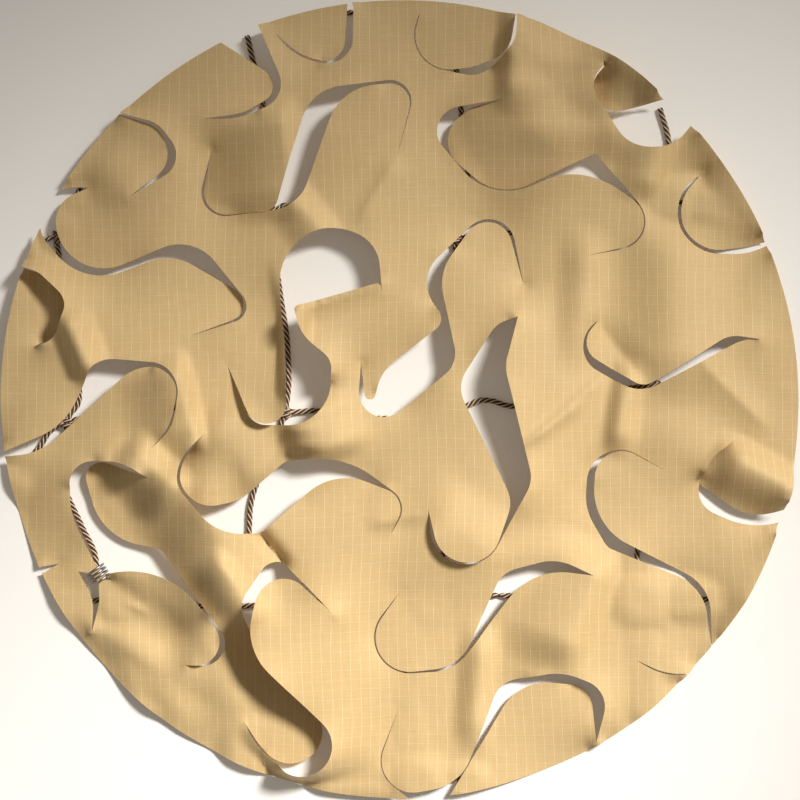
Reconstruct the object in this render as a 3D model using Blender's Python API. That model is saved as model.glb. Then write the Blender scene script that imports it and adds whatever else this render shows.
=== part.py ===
"""Camouflage netting: a round cut length of die-cut ripstop cloth, clipped to a knotted net of twisted cord.

The cloth lies loosely over the net, and both rest on the surface at z = 0. X and Y span the round, whose
centre is over the origin. Lengths are in millimetres until the meshes are written in metres.
"""
import math

import bmesh
import bpy
import numpy as np
from mathutils import Vector, kdtree
from mathutils.geometry import delaunay_2d_cdt

MM = 0.001

# The cloth
CLOTH_RADIUS = 200.0
CLOTH_THICK = 1.4          # measured upright, so steep stretches are still over 1 mm through
KERF = 0.8                 # width of a cut that lies closed
CROSSED = 4.0              # an edge that crosses the other by less than this is laid beside it
EDGE_STEP = 6.5            # between points along a cut edge or the rim
WEAVE_STEP = 11.0          # between points inside the cloth
SHARPEST_TURN = math.radians(42)

# The net
CORD_RADIUS = 1.6          # to the corners of the six-sided cord
CORD_LIFT = CORD_RADIUS * math.sin(math.radians(60))
CORD_STEP = 17.0
CORD_OVER_CORD = 0.03      # each cord lies this much higher than the last, so no two share a plane
KNOT_LIFT = 0.3
KNOT_WIDTH = 9.2
KNOT_HEIGHT = 5.0
KNOT_WIDEST = 0.42         # how far up it is widest, as a share of its height
KNOT_ROUND = 8             # faces round it
KNOT_RINGS = 6
# How the cloth clears the net: height of its underside, how far out it stays so, where it is down again
CORD_COVER = (5.1, 3.5, 20.0)
CORD_COVER_STEP = 3.0
KNOT_COVER = (7.1, 5.0, 32.0)

# The wire clip
CLIP_PLACE = (-151.5, -87.5)
CLIP_HEADING = math.radians(-60)
CLIP_TURNS = 3.25
CLIP_PITCH = 2.0
CLIP_WIRE = 1.2
CLIP_RADIUS = 4.8          # to the middle of the wire
CLIP_LIFT = CLIP_RADIUS + CLIP_WIRE / 2 + 0.05
CLIP_CORD_RISE = 1.95      # the cord lifts into the clip

# Each die-cut incision has a start and an end (x, y) and two edges. An edge runs round its bends in turn,
# straight between them. A bend is x, y, radius (over 0 turning left, under 0 turning right), height.
CUTS = (
    # a
    ((-98, 140.5), (-80, 198),
     ((-86, 166, 24, 11), (-72.5, 157, 9, 10), (-93, 181, 0, 9)),
     ((-87.5, 179, 39, 12), (-73, 157.5, 13.75, 15), (-72, 190, 0, 13))),
    # b
    ((-62, 183), (-26, 205),
     ((-35, 200, 30.75, 12), (-38, 180, 10.5, 10), (-26.5, 195, 0, 9)),
     ((-35, 200, 31.75, 11), (-36, 180.5, 12.5, 13), (-23.25, 196, 0, 12))),
    # c
    ((10, 194), (58.5, 198.5),
     ((25, 182.5, 17.25, 10), (32.5, 181, 15, 10), (42, 183, 13.75, 10)),
     ((25, 182.5, 18, 11), (36, 177, 14.5, 9), (43, 183.5, 14.5, 16))),
    # x
    ((-150, 146), (-135.5, 101),
     ((-129, 125.5, -14.25, 14), (-123.5, 122, -12, 14)),
     ((-130.5, 125, -13.75, 11), (-129, 122.5, -12.75, 10))),
    # d
    ((-94.5, 125.5), (-2, 119.5),
     ((-87, 104.5, 11.5, 4), (-69, 102.5, 8.5, 7), (-27, 134, -22.5, 15), (-5, 149, -10.75, 12)),
     ((-87.5, 104, 12, 8), (-64, 112.5, 18, 12), (-10.5, 131, -26, 15), (-5, 148, -10, 12))),
    # e
    ((52.5, 150), (93, 72),
     ((38.5, 140.5, 6.25, 4), (39, 130, 15, 3), (54, 131, 25.5, 4),
      (97.5, 120.5, -2.5, 6), (108.5, 89.5, -14.25, 8)),
     ((30.5, 134.5, 12, 9), (54, 134.5, 30, 9), (87, 74.5, -38, 9), (108.5, 89.5, -13.5, 9))),
    # f
    ((151.5, 113.5), (195, 82),
     ((160, 94.5, 19, 0.8), (168, 105, 28.5, 1)),
     ((160, 94.25, 20.75, 2), (168.5, 105, 31.5, 2))),
    # g
    ((102, 166.5), (156, 150),
     ((108, 156, 11.5, 2), (134, 151, 0, 9)),
     ((108, 156, 12, 12), (126, 148, 22, 8))),
    # h
    ((-156, 106.5), (-105, 32),
     ((-158, 90, 14.5, 5), (-148.5, 90, 24, 7), (-110, 55.5, -22.25, 11), (-85, 47, -8.25, 12)),
     ((-163.5, 89.5, 17.25, 4), (-150, 91, 28.5, 5), (-116.5, 46, -25, 7), (-87, 48, -8.5, 8))),
    # i
    ((-197.5, 69), (-184, 26.5),
     ((-187, 52, -13.5, 17), (-177, 47, -10.25, 17), (-181.5, 39.5, -12, 14)),
     ((-187, 52, -13, 3), (-177, 47, -9.75, 3), (-182, 39.5, -10.75, 4))),
    # j
    ((-206, -29), (-124, -24.5),
     ((-194, 14, 35, 9), (-143.5, 7.5, -13, 12), (-125, 4, -15, 12), (-131, -4, -19.5, 11)),
     ((-194, 4, 31.75, 7), (-124, -6, -22.5, 12), (-124, 2.5, -14, 15), (-131.5, -4, -19, 14))),
    # k
    ((-87, 19), (-9, 54.5),
     ((-66.5, -1.5, 10.25, 13), (-33, 58.5, -27, 14.5), (-29, 65.5, -19, 14.5)),
     ((-66.5, -1.5, 11, 7), (-56, 9, 21.5, 9), (-44, 15.5, 10, 17),
      (-30, 44, -21, 17), (-49.5, 44.5, -2.5, 17), (-11.5, 56, -2, 14))),
    # l
    ((62, 57.5), (-19.5, 19),
     ((44, 77, 12.25, 6), (45.5, 58, 24.5, 10), (13.5, 23.5, -14, 14), (-8, 4, -12.5, 9)),
     ((44.5, 77.5, 13.25, 6), (31.5, 58.5, 18, 11), (14, 40.5, -6.5, 15),
      (12, 0.5, 24, 12), (-15, 3, -2.75, 10))),
    # m
    ((14, -54), (58.5, 41.5),
     ((33.5, -64, 16.75, 13), (39, -51.5, 16, 12), (46, 6, -15.5, 12), (57, 26.5, -13.75, 16)),
     ((33, -64, 18, 8), (49, -38, 16, 18), (72.5, 16.5, -20, 22))),
    # n
    ((99, 39.5), (180, 30.5),
     ((103, 29, 10, 10), (121.5, 17.5, 9.75, 10), (168, 16, -16, 11)),
     ((105.5, 27, 14, 8), (120, 24, 18.5, 7), (177.5, 7.5, -23, 9))),
    # o
    ((168, -19.5), (212, -50),
     ((172.5, -42.5, 20.5, 4), (153.25, -41.5, 2.25, 1), (180, -33, 24.5, 2)),
     ((172.5, -42.5, 21.25, 10), (163, -45, 13, 3), (180, -23, 40, 2))),
    # p
    ((136, -37), (158, -131),
     ((111, -39, 13.5, 9), (127.5, -45, 30.25, 8), (134, -107, -22, 2)),
     ((110, -41.5, 16.25, 5), (120, -48.5, 26.5, 4), (109, -68.5, 7, 4), (130, -111, -24.5, 2))),
    # p2
    ((118.5, -130.5), (150, -137.5),
     ((140.5, -105.5, 32, 5),),
     ((140.5, -105.5, 32.75, 4),)),
    # q
    ((0.5, -95.5), (96.5, -87.5),
     ((5, -119, 17.25, 7), (15, -113.5, 21.75, 6), (61.5, -98.5, -14.5, 5), (76, -106, -25.5, 6)),
     ((5, -119, 18, 7), (15, -113.5, 23, 6), (81.5, -120, -34, 5))),
    # r
    ((-0.5, -154.5), (98.5, -172),
     ((6.5, -181, 15.75, 5), (13, -171.5, 24, 4), (61, -155, -15, 4),
      (78, -167, -30, 8), (89, -153.5, -13.5, 9)),
     ((7, -181, 16.5, 5), (14, -207.5, 0, 4), (20.5, -206, 0, 4),
      (74, -168, -26, 4), (84.5, -155.5, -12.5, 2.5))),
    # s
    ((-32.5, -107), (-78.5, -161),
     ((-57.5, -102, 13.75, 24), (-45, -114, 28.5, 26), (-49, -172, -15.25, 17), (-41, -149.5, -38.5, 8)),
     ((-62, -89, 8, 11), (-64, -103.5, 14.5, 6), (-45, -114, 29.25, 3),
      (-55, -166.5, -16, 5), (-41.25, -149.75, -37.5, 4))),
    # t
    ((-125, -38.5), (-108, -132.5),
     ((-150, -39, 7.75, 5), (-125.5, -43, 30.25, 4), (-124, -81, -7, 4), (-99, -121.5, -11.5, 5)),
     ((-146, -60, 29.5, 16), (-153.5, -42, 11.5, 12), (-125, -47.5, 40.25, 9),
      (-150, -81.5, 3, 6.2), (-146.3, -87.5, 1.5, 6.2), (-135, -130.5, -45, 12), (-102, -120.5, -12, 8))),
    # t2
    ((-161.5, -86), (-154.5, -116.5),
     ((-155.5, -86.75, 0, 6.2), (-151.25, -91.5, 0, 6.2), (-163, -100, -12.25, 7)),
     ((-176.5, -105.5, -22.5, 6),)),
    # u
    ((-97, -16.5), (-5, -68),
     ((-94, -37, 15.75, 2), (-91, -28, 24, 2), (-53.5, -38.5, -8.5, 3),
      (-41, -75, -45.75, 6), (-10, -54.5, -11, 9)),
     ((-93.5, -37, 16.75, 13), (-77.5, -39, 27.5, 14), (-72, -59.5, 7, 15),
      (-27, -67.5, -28.5, 10), (-10, -54.5, -10.25, 11))),
    # v
    ((-189, -87), (-171.5, -82.25),
     ((-180, -83.75, 0, 4),),
     ((-179, -86.75, 0, 3),)),
)

FADE_LENGTH = 0.4          # share of its length over which a fold dies away
FADE_AT_END = 0.45
# Soft folds: from x, y, to x, y, height of the ridge, width on its left, width on its right
FOLDS = (
    (-134, -24, -110, -46, 9, 13, 26),
    (-106, -33, -77, -112, 11, 24, 40),
    (-62, 16, -24, -32, 6, 44, 60),
    (-44, -2, -34, -28, 8, 26, 22),
    (-52, -12, -50, -26, 5, 16, 12),
    (-98, -12, -68, -44, 9, 30, 30),
    (-50, 51, -53, 0, 11, 8, 10),
    (-66, 62, -57, 4, -3, 5, 32),
    (-112, 20, -102, -22, 9, 8, 34),
    (-165, 42, -153, 12, 10, 12, 12),
    (-60, 146, -55, 96, 9, 12, 48),
    (-52, 100, -36, 78, 6, 12, 18),
    (59, 197, 55, 148, 8, 34, 11),
    (104, 176, 102, 126, 8, 22, 66),
    (130, 138, 123, 103, 7, 12, 20),
    (138, 88, 135, 8, 8, 36, 30),
    (93, 80, 89, 22, 4.5, 14, 15),
    (114, 16, 108, -24, 6, 12, 9),
    (162, -27, 199, -48, 13, 14, 24),
    (-150, -98, -110, -126, -4, 20, 16),
    (-92, -78, -70, -106, 6, 8, 20),
    (-98, -118, -78, -156, 4.5, 18, 26),
    (-142, -112, -108, -150, 4, 24, 24),
    (-136, 102, -150, 122, 2.2, 18, 24),
    (100, -78, 80, -130, 9, 16, 44),
    (12, -56, 62, -88, 5, 26, 46),
    (41, -116, 37, -172, 5.5, 12, 13),
    (-140, -140, -96, -166, 2.0, 14, 18),
    (128, -12, 176, -62, 1.6, 22, 26),
    (40, 158, 88, 112, 8, 26, 42),
)

# Creases, which are folds with a sharp edge
CREASES = (
    (-52, 45, -8, 59, 3.5, 4, 11),
    (99, 39, 121, 11, -2.4, 12, 22),
    (150, 19, 183, -13, 2.6, 16, 16),
    (64, -20.5, 101, 11, 2.2, 6, 10),
    (64, -20.5, 90, -2, 1.6, 4, 7),
    (-2, 119.5, -20, 90, 2.4, 14, 9),
    (-150, -97, -128, -106, 2.2, 5, 6),
    (12, -57, -14, -62, 2.0, 8, 12),
    (-72, -65, -57, -84, -6, 8, 6),
)

# Height of the rim by the angle round it. Under 0 it presses flat on the surface
RIM = ((0, 5), (18, 6), (35, 10), (46, 15), (53, 22), (64, 13), (78, 11), (90, 9), (112, 9), (130, 8),
       (150, 8), (166, 9), (180, 8), (196, -1), (210, 5), (222, -1), (236, 2), (248, -1), (262, -1), (278, 6),
       (292, -1), (304, 3), (318, -1), (330, 11), (346, 8))

# Cords of the net, from end to end: x, y. A third number lifts the cord, and a name is a knot.
KNOTS = {
    "a2": (-171.5, 82), "a3": (-167.5, -11), "a4": (-141, -100),
    "b2": (-66, 95), "b3": (-58, -6), "b4": (-84, -104),
    "c1": (28, 190), "c2": (28, 81.5), "c3": (26.3, -5.5), "c4": (16, -103), "c5": (9, -191),
    "d2": (133, 100.5), "d3": (128, 7), "d4": (120.5, -101),
}
CORDS = (
    ((-155, 121), "a2", (-172, 74), (-168, 40), (-161.5, 3), "a3", (-169.5, -40), (-161, -62),
     (-154, -76, 1.2), (*CLIP_PLACE, CLIP_CORD_RISE), (-146.5, -93, 1.2), "a4", (-126, -150)),
    ((-77, 183.5), (-74.5, 172.5), (-69, 147.5), "b2", (-60.5, 55), (-56.5, 25), "b3", (-73.5, -46),
     (-76, -66), (-77.5, -90), "b4", (-78, -181)),
    ("c1", (28.5, 165), (31, 144), (34, 112.5), "c2", (30, 44), (30, 24), (29.7, 11), "c3", (25, -55), "c4", (2.5, -136), "c5"),
    ((131, 147), (135.5, 128), "d2", (128, 52), "d3", (119.5, -78.5), "d4", (123, -153)),
    ((-36, 194.5), (-5, 195.5), "c1"),
    ((-180, 80), "a2", (-120, 86), "b2", (-55, 97.5), (-14, 86), "c2", (76, 88), (118.5, 99.5), "d2",
     (172, 95)),
    ((-192, -37), (-182.5, -25), "a3", (-112, -4), "b3", (-42, -5.5), (-26, -8.6), (-8, -9.3),
     (10, -8.9), "c3", (33, -3.2), (40, -0.3), (47, -0.6), (55.5, -3), (72, -2.5),
     "d3", (196, 1.5)),
    ((-167, -103), "a4", (-112, -103), "b4", (-30, -101), "c4", (44, -99), (52, -98.5), "d4", (167, -100)),
    ((-34, -191), "c5", (36, -191)),
)


def lip_line(start, bends, end, widen=0.0):
    """Points x, y, z along one edge of an incision. Widening moves the edge to the right of its travel."""
    rounds = [(start[0], start[1], 0.0, start[2])]
    rounds += [(x, y, radius + widen if radius else 0.0, height) for x, y, radius, height in bends]
    rounds += [(end[0], end[1], 0.0, end[2])]
    headings = []
    for (x1, y1, radius1, _), (x2, y2, radius2, _) in zip(rounds, rounds[1:]):
        lean = (radius2 - radius1) / math.hypot(x2 - x1, y2 - y1)
        lean = max(-1.0, min(1.0, lean))
        headings.append(math.atan2(y2 - y1, x2 - x1) + math.acos(lean) - math.pi / 2)
    points = [start]
    for bend, arriving, leaving in zip(rounds[1:], headings, headings[1:] + [headings[-1]]):
        x, y, radius, height = bend
        turn = (leaving - arriving) % (2 * math.pi)
        if radius < 0:
            turn -= 2 * math.pi
        if radius == 0 or abs(turn) > math.radians(330):
            turn = 0.0
        arc = max(1, round(abs(turn * radius) / EDGE_STEP), math.ceil(abs(turn) / SHARPEST_TURN))
        headings_here = [arriving + turn * k / arc for k in range(arc + 1)] if turn else [arriving]
        bent = [(x + radius * math.sin(h), y - radius * math.cos(h), height) for h in headings_here]
        last = points[-1]
        straight = math.dist(last[:2], bent[0][:2])
        pieces = max(1, round(straight / EDGE_STEP))
        for k in range(1, pieces):
            share = k / pieces
            ease = share * share * (3 - 2 * share)
            points.append((last[0] + (bent[0][0] - last[0]) * share, last[1] + (bent[0][1] - last[1]) * share,
                           last[2] + (bent[0][2] - last[2]) * ease))
        points += bent
    return np.array(points)


def cut_edges(cut):
    """The left and right edges of an incision. The right keeps the kerf away where the cut lies closed."""
    start, end, left, right = cut
    first = (*start, (left[0][3] + right[0][3]) / 2)
    last = (*end, (left[-1][3] + right[-1][3]) / 2)
    far_side = lip_line(first, right, last)
    kerf = lip_line(first, left, last, KERF)[:, :2]
    run = np.diff(kerf, axis=0)
    lengths = np.maximum((run ** 2).sum(axis=1), 1e-9)
    for point in far_side[1:-1]:
        share = np.clip(((point[:2] - kerf[:-1]) * run).sum(axis=1) / lengths, 0, 1)
        nearest = kerf[:-1] + run * share[:, None]
        away = point[:2] - nearest
        k = np.argmin((away ** 2).sum(axis=1))
        on_left = run[k][0] * away[k][1] - run[k][1] * away[k][0] > 0
        if on_left and math.hypot(*away[k]) < CROSSED:
            point[:2] = nearest[k]
    return lip_line(first, left, last), far_side


def inside(points, outline):
    """Which points lie inside a closed outline."""
    x, y = points[:, 0], points[:, 1]
    within = np.zeros(len(points), bool)
    for (x1, y1), (x2, y2) in zip(outline, np.roll(outline, -1, axis=0)):
        if y1 != y2:
            crossing = (y1 > y) != (y2 > y)
            within ^= crossing & (x < (x2 - x1) * (y - y1) / (y2 - y1) + x1)
    return within


def rim_height(x, y):
    angles = [row[0] for row in RIM]
    heights = [row[1] for row in RIM]
    return np.interp(np.degrees(np.arctan2(y, x)) % 360, angles, heights, period=360)


def weave_points(edge_points):
    """A triangular grid of points inside the cloth, clear of its edges."""
    tree = kdtree.KDTree(len(edge_points))
    for k, (x, y) in enumerate(edge_points):
        tree.insert((x, y, 0), k)
    tree.balance()
    points = []
    rows = int(CLOTH_RADIUS / (WEAVE_STEP * math.sqrt(0.75)))
    columns = int(CLOTH_RADIUS / WEAVE_STEP) + 1
    for row in range(-rows, rows + 1):
        for column in range(-columns, columns + 1):
            x = (column + row % 2 / 2) * WEAVE_STEP
            y = row * WEAVE_STEP * math.sqrt(0.75)
            if math.hypot(x, y) < CLOTH_RADIUS and tree.find((x, y, 0))[2] > 0.6 * WEAVE_STEP:
                points.append((x, y))
    return points


def flat_cloth():
    """The cloth cut out flat: points x, y, its triangles, and a height where an edge settles one."""
    edges = [cut_edges(cut) for cut in CUTS]
    steps = round(2 * math.pi * CLOTH_RADIUS / EDGE_STEP)
    around = np.arange(steps) * 2 * math.pi / steps
    rim = np.column_stack((CLOTH_RADIUS * np.cos(around), CLOTH_RADIUS * np.sin(around)))
    points = [tuple(p) for p in rim]
    borders = [(k, (k + 1) % steps) for k in range(steps)]
    settled = {}
    for line in (line for pair in edges for line in pair):
        first = len(points)
        points += [(x, y) for x, y, _ in line]
        borders += [(first + k, first + k + 1) for k in range(len(line) - 1)]
        settled.update({first + k: z for k, (_, _, z) in enumerate(line)})
    near_cut = kdtree.KDTree(len(points) - steps)
    for k, (x, y) in enumerate(points[steps:]):
        near_cut.insert((x, y, 0), k)
    near_cut.balance()
    heights = rim_height(rim[:, 0], rim[:, 1])
    for k, (x, y) in enumerate(rim):
        if near_cut.find((x, y, 0))[2] > 2 * WEAVE_STEP:
            settled[k] = heights[k]
    points += weave_points(points)
    found = delaunay_2d_cdt([Vector(p) for p in points], borders, [], 0, 0.05, True)
    flat = np.array([tuple(p) for p in found[0]])
    triangles = np.array(found[2])
    middles = flat[triangles].mean(axis=1)
    kept = inside(middles, rim)
    for left, right in edges:
        kept &= ~inside(middles, np.vstack((left[:, :2], right[::-1, :2])))
    held = [next((settled[k] for k in source if k in settled), None) for source in found[3]]
    return flat, triangles[kept], held


def in_one_piece(triangles):
    """The largest joined set of triangles, with no two parts of it meeting at a single point."""
    triangles = [tuple(t) for t in triangles]
    while True:
        around = {}
        for k, triangle in enumerate(triangles):
            for corner in triangle:
                around.setdefault(corner, []).append(k)
        spare = set()
        for corner, fans in around.items():
            groups = joined_groups([triangles[k] for k in fans], corner)
            if len(groups) > 1:
                smaller = sorted(groups, key=len)[:-1]
                spare.update(fans[k] for group in smaller for k in group)
        if not spare:
            break
        triangles = [t for k, t in enumerate(triangles) if k not in spare]
    whole = joined_groups(triangles)
    return np.array([triangles[k] for k in max(whole, key=len)])


def joined_groups(triangles, about=None):
    """Sets of triangles joined edge to edge. About a corner, only the edges at that corner join."""
    owners = {}
    for k, (a, b, c) in enumerate(triangles):
        for edge in ((a, b), (b, c), (c, a)):
            if about is None or about in edge:
                owners.setdefault(tuple(sorted(edge)), []).append(k)
    group = list(range(len(triangles)))

    def root(k):
        while group[k] != k:
            group[k] = group[group[k]]
            k = group[k]
        return k

    for members in owners.values():
        for other in members[1:]:
            group[root(other)] = root(members[0])
    found = {}
    for k in range(len(triangles)):
        found.setdefault(root(k), []).append(k)
    return list(found.values())


def stretched(triangles, held):
    """Height of each point of a sheet stretched between the points whose height is held."""
    sides = np.vstack((triangles[:, :2], triangles[:, 1:], triangles[:, ::2]))
    links = np.unique(np.sort(sides, axis=1), axis=0)
    count = len(held)
    loose = np.array([z is None for z in held])
    height = np.array([0.0 if z is None else z for z in held])
    ends = np.concatenate((links[:, 0], links[:, 1]))
    others = np.concatenate((links[:, 1], links[:, 0]))
    degree = np.maximum(np.bincount(ends, minlength=count), 1)

    def pull(z):
        return np.where(loose, degree * z - np.bincount(ends, weights=z[others], minlength=count), 0.0)

    change = np.zeros(count)
    rest = -pull(height)
    step = rest / degree
    size = rest @ step
    for _ in range(2000):
        if size < 1e-9:
            break
        drag = pull(step)
        share = size / (step @ drag)
        change += share * step
        rest -= share * drag
        eased = rest / degree
        grown = eased @ rest
        step = eased + grown / size * step
        size = grown
    return height + change


def fold_height(x, y, folds, crisp):
    """What some folds add to the height. Each dies away at its ends, and its ridge is sharp or rounded."""
    total = np.zeros(len(x))
    for x1, y1, x2, y2, height, left, right in folds:
        length = math.hypot(x2 - x1, y2 - y1)
        along = ((x - x1) * (x2 - x1) + (y - y1) * (y2 - y1)) / length
        across = ((y - y1) * (x2 - x1) - (x - x1) * (y2 - y1)) / length
        side = np.maximum(0, 1 - np.abs(across) / np.where(across > 0, left, right))
        fade = np.clip(np.minimum(along, length - along) / (FADE_LENGTH * length) + FADE_AT_END, 0, 1)
        profile = side * side if crisp else side * side * (3 - 2 * side)
        total += height * profile * fade * fade * (3 - 2 * fade)
    return total


def smooth_route(stops, step):
    """Points along a smooth curve through the stops."""
    stops = [np.array(p, float) for p in stops]
    stops = [2 * stops[0] - stops[1]] + stops + [2 * stops[-1] - stops[-2]]
    route = []
    for a, b, c, d in zip(stops, stops[1:], stops[2:], stops[3:]):
        pieces = max(1, round(np.linalg.norm(c - b) / step))
        for k in range(pieces):
            t = k / pieces
            route.append(0.5 * (2 * b + (c - a) * t + (2 * a - 5 * b + 4 * c - d) * t ** 2
                                + (3 * b - a - 3 * c + d) * t ** 3))
    return np.array(route + [stops[-2]])


def cord_route(cord, step):
    """Middle line of a cord through its stops, at its height over the surface."""
    stops = [KNOTS[stop] if isinstance(stop, str) else stop for stop in cord]
    stops = [(*stop, 0.0)[:3] for stop in stops]
    route = smooth_route(stops, step)
    route[:, 2] = np.maximum(route[:, 2], 0) + CORD_LIFT
    return route


def over_the_net(x, y):
    """Least height of the cloth's underside: flat on the surface, lifted over cords and knots."""
    least = np.zeros(len(x))
    spots = [(*p, *CORD_COVER) for cord in CORDS for p in cord_route(cord, CORD_COVER_STEP)]
    spots += [(*place, 0, *KNOT_COVER) for place in KNOTS.values()]
    for *place, cover, top, foot in spots:
        away = np.hypot(x - place[0], y - place[1])
        share = np.clip((foot - away) / (foot - top), 0, 1)
        least = np.maximum(least, cover * share * share * (3 - 2 * share))
    return least


def not_below(height, least, blend=1.5):
    """The higher of the two, rounded off where they meet."""
    near = np.maximum(blend - np.abs(height - least), 0) / blend
    return np.maximum(height, least) + near * near * blend / 4


def sheet_object(name, flat, triangles, height):
    """A closed sheet: the flat pattern lifted to its height, one face up, one face down and the cut edges."""
    used, triangles = np.unique(triangles, return_inverse=True)
    triangles = triangles.reshape(-1, 3)
    x, y = flat[used].T
    z = height[used]
    count = len(used)
    top = np.column_stack((x, y, z + CLOTH_THICK / 2))
    under = np.column_stack((x, y, z - CLOTH_THICK / 2))
    sides = {}
    for a, b, c in triangles.tolist():
        for edge in ((a, b), (b, c), (c, a)):
            sides[edge] = (edge[1], edge[0])
    walls = [(b, a, a + count, b + count) for (a, b), back in sides.items() if back not in sides]
    faces = [tuple(t) for t in triangles.tolist()]
    faces += [(c + count, b + count, a + count) for a, b, c in triangles.tolist()]
    mesh = bpy.data.meshes.new(name)
    mesh.from_pydata((np.vstack((top, under)) * MM).tolist(), [], faces + walls)
    return add_object(name, mesh)


def add_object(name, data):
    made = bpy.data.objects.new(name, data)
    bpy.context.scene.collection.objects.link(made)
    return made


def finish(made, name, colour, roughness, metallic):
    material = bpy.data.materials.new(name)
    material.use_nodes = True
    shader = material.node_tree.nodes["Principled BSDF"]
    shader.inputs["Base Color"].default_value = (*colour, 1.0)
    shader.inputs["Roughness"].default_value = roughness
    shader.inputs["Metallic"].default_value = metallic
    material.diffuse_color = (*colour, 1.0)
    made.data.materials.append(material)


def make_cloth():
    flat, triangles, held = flat_cloth()
    triangles = in_one_piece(triangles)
    height = stretched(triangles, held)
    x, y = flat.T
    height = height + fold_height(x, y, FOLDS, False) + fold_height(x, y, CREASES, True)
    height = not_below(height, over_the_net(x, y) + CLOTH_THICK / 2)
    cloth = sheet_object("garnish_cloth", flat, triangles, height)
    finish(cloth, "tan_ripstop", (0.62, 0.45, 0.22), 0.75, 0.0)


def cord_tube(cord, lift):
    """A six-sided cord with a flat underside."""
    route = cord_route(cord, CORD_STEP)
    route[:, 2] += lift
    ahead = np.gradient(route[:, :2], axis=0)
    ahead /= np.linalg.norm(ahead, axis=1)[:, None]
    sides = 6
    points = []
    for (x, y, z), (run_x, run_y) in zip(route, ahead):
        for k in range(sides):
            angle = 2 * math.pi * k / sides
            out = CORD_RADIUS * math.cos(angle)
            points.append((x + run_y * out, y - run_x * out, z + CORD_RADIUS * math.sin(angle)))
    faces = [tuple(range(sides)), tuple(range(len(points) - 1, len(points) - 1 - sides, -1))]
    for ring in range(len(route) - 1):
        for k in range(sides):
            a, b = ring * sides + k, ring * sides + (k + 1) % sides
            faces.append((b, a, a + sides, b + sides))
    mesh = bpy.data.meshes.new("cord")
    mesh.from_pydata((np.array(points) * MM).tolist(), [], faces)
    return add_object("cord", mesh)


def knot_lump(place):
    """A round knot, flat where it lies on the surface."""
    form = bmesh.new()
    bmesh.ops.create_uvsphere(form, u_segments=KNOT_ROUND, v_segments=KNOT_RINGS, radius=1.0)
    middle = KNOT_HEIGHT * KNOT_WIDEST
    for point in form.verts:
        point.co.x = point.co.x * KNOT_WIDTH / 2
        point.co.y = point.co.y * KNOT_WIDTH / 2
        point.co.z = middle + point.co.z * (KNOT_HEIGHT - middle)
    bmesh.ops.bisect_plane(form, geom=form.verts[:] + form.edges[:] + form.faces[:], dist=1e-5,
                           plane_co=(0, 0, KNOT_LIFT), plane_no=(0, 0, -1), clear_outer=True)
    bmesh.ops.holes_fill(form, edges=[edge for edge in form.edges if edge.is_boundary])
    for point in form.verts:
        point.co = (point.co + Vector((place[0], place[1], 0))) * MM
    bmesh.ops.recalc_face_normals(form, faces=form.faces[:])
    mesh = bpy.data.meshes.new("knot")
    form.to_mesh(mesh)
    form.free()
    return add_object("knot", mesh)


def make_net():
    """Every cord and knot, joined into one made net."""
    pieces = [cord_tube(cord, k * CORD_OVER_CORD) for k, cord in enumerate(CORDS)]
    pieces += [knot_lump(place) for place in KNOTS.values()]
    net = pieces[0]
    for piece in pieces[1:]:
        join = net.modifiers.new("join", "BOOLEAN")
        join.operation = "UNION"
        join.solver = "EXACT"
        join.object = piece
        shaped = bpy.data.meshes.new_from_object(net.evaluated_get(bpy.context.evaluated_depsgraph_get()))
        net.modifiers.clear()
        net.data = shaped
        bpy.data.objects.remove(piece)
    net.name = "cord_net"
    finish(net, "brown_cream_cord", (0.09, 0.045, 0.03), 0.8, 0.0)


def make_clip():
    """A coil of wire round the cord and the pinched neck of cloth."""
    along = Vector((math.cos(CLIP_HEADING), math.sin(CLIP_HEADING), 0))
    across = Vector((-along.y, along.x, 0))
    steps = round(CLIP_TURNS * 10)
    curve = bpy.data.curves.new("wire_clip", "CURVE")
    curve.dimensions = "3D"
    curve.bevel_depth = CLIP_WIRE / 2 * MM
    curve.bevel_resolution = 1
    curve.use_fill_caps = True
    line = curve.splines.new("POLY")
    line.points.add(steps)
    for k in range(steps + 1):
        turned = CLIP_TURNS * k / steps
        angle = 2 * math.pi * turned
        point = Vector((*CLIP_PLACE, CLIP_LIFT)) + along * (turned - CLIP_TURNS / 2) * CLIP_PITCH
        point += across * CLIP_RADIUS * math.cos(angle) + Vector((0, 0, CLIP_RADIUS * math.sin(angle)))
        line.points[k].co = (*(point * MM), 1.0)
    clip = add_object("wire_clip", curve)
    finish(clip, "dull_steel_wire", (0.35, 0.35, 0.36), 0.4, 1.0)


for leftover in list(bpy.data.objects):
    bpy.data.objects.remove(leftover)
make_cloth()
make_net()
make_clip()
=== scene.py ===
import math

import bpy
import numpy as np
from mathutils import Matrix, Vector, kdtree, noise
from mathutils.geometry import delaunay_2d_cdt


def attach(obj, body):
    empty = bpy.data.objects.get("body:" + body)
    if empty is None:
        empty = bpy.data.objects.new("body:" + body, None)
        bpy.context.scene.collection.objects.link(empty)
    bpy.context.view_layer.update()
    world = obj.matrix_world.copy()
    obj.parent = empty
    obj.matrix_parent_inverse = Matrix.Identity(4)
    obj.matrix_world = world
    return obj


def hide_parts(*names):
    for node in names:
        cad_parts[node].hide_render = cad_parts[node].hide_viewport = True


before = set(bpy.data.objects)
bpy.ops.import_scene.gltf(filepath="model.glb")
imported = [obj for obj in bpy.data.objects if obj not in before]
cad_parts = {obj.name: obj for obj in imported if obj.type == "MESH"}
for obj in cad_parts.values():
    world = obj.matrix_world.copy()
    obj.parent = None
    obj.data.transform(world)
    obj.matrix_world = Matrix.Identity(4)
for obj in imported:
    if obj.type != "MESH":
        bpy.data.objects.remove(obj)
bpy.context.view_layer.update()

MM = 0.001
BOARD_SIZE = 4200.0
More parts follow.
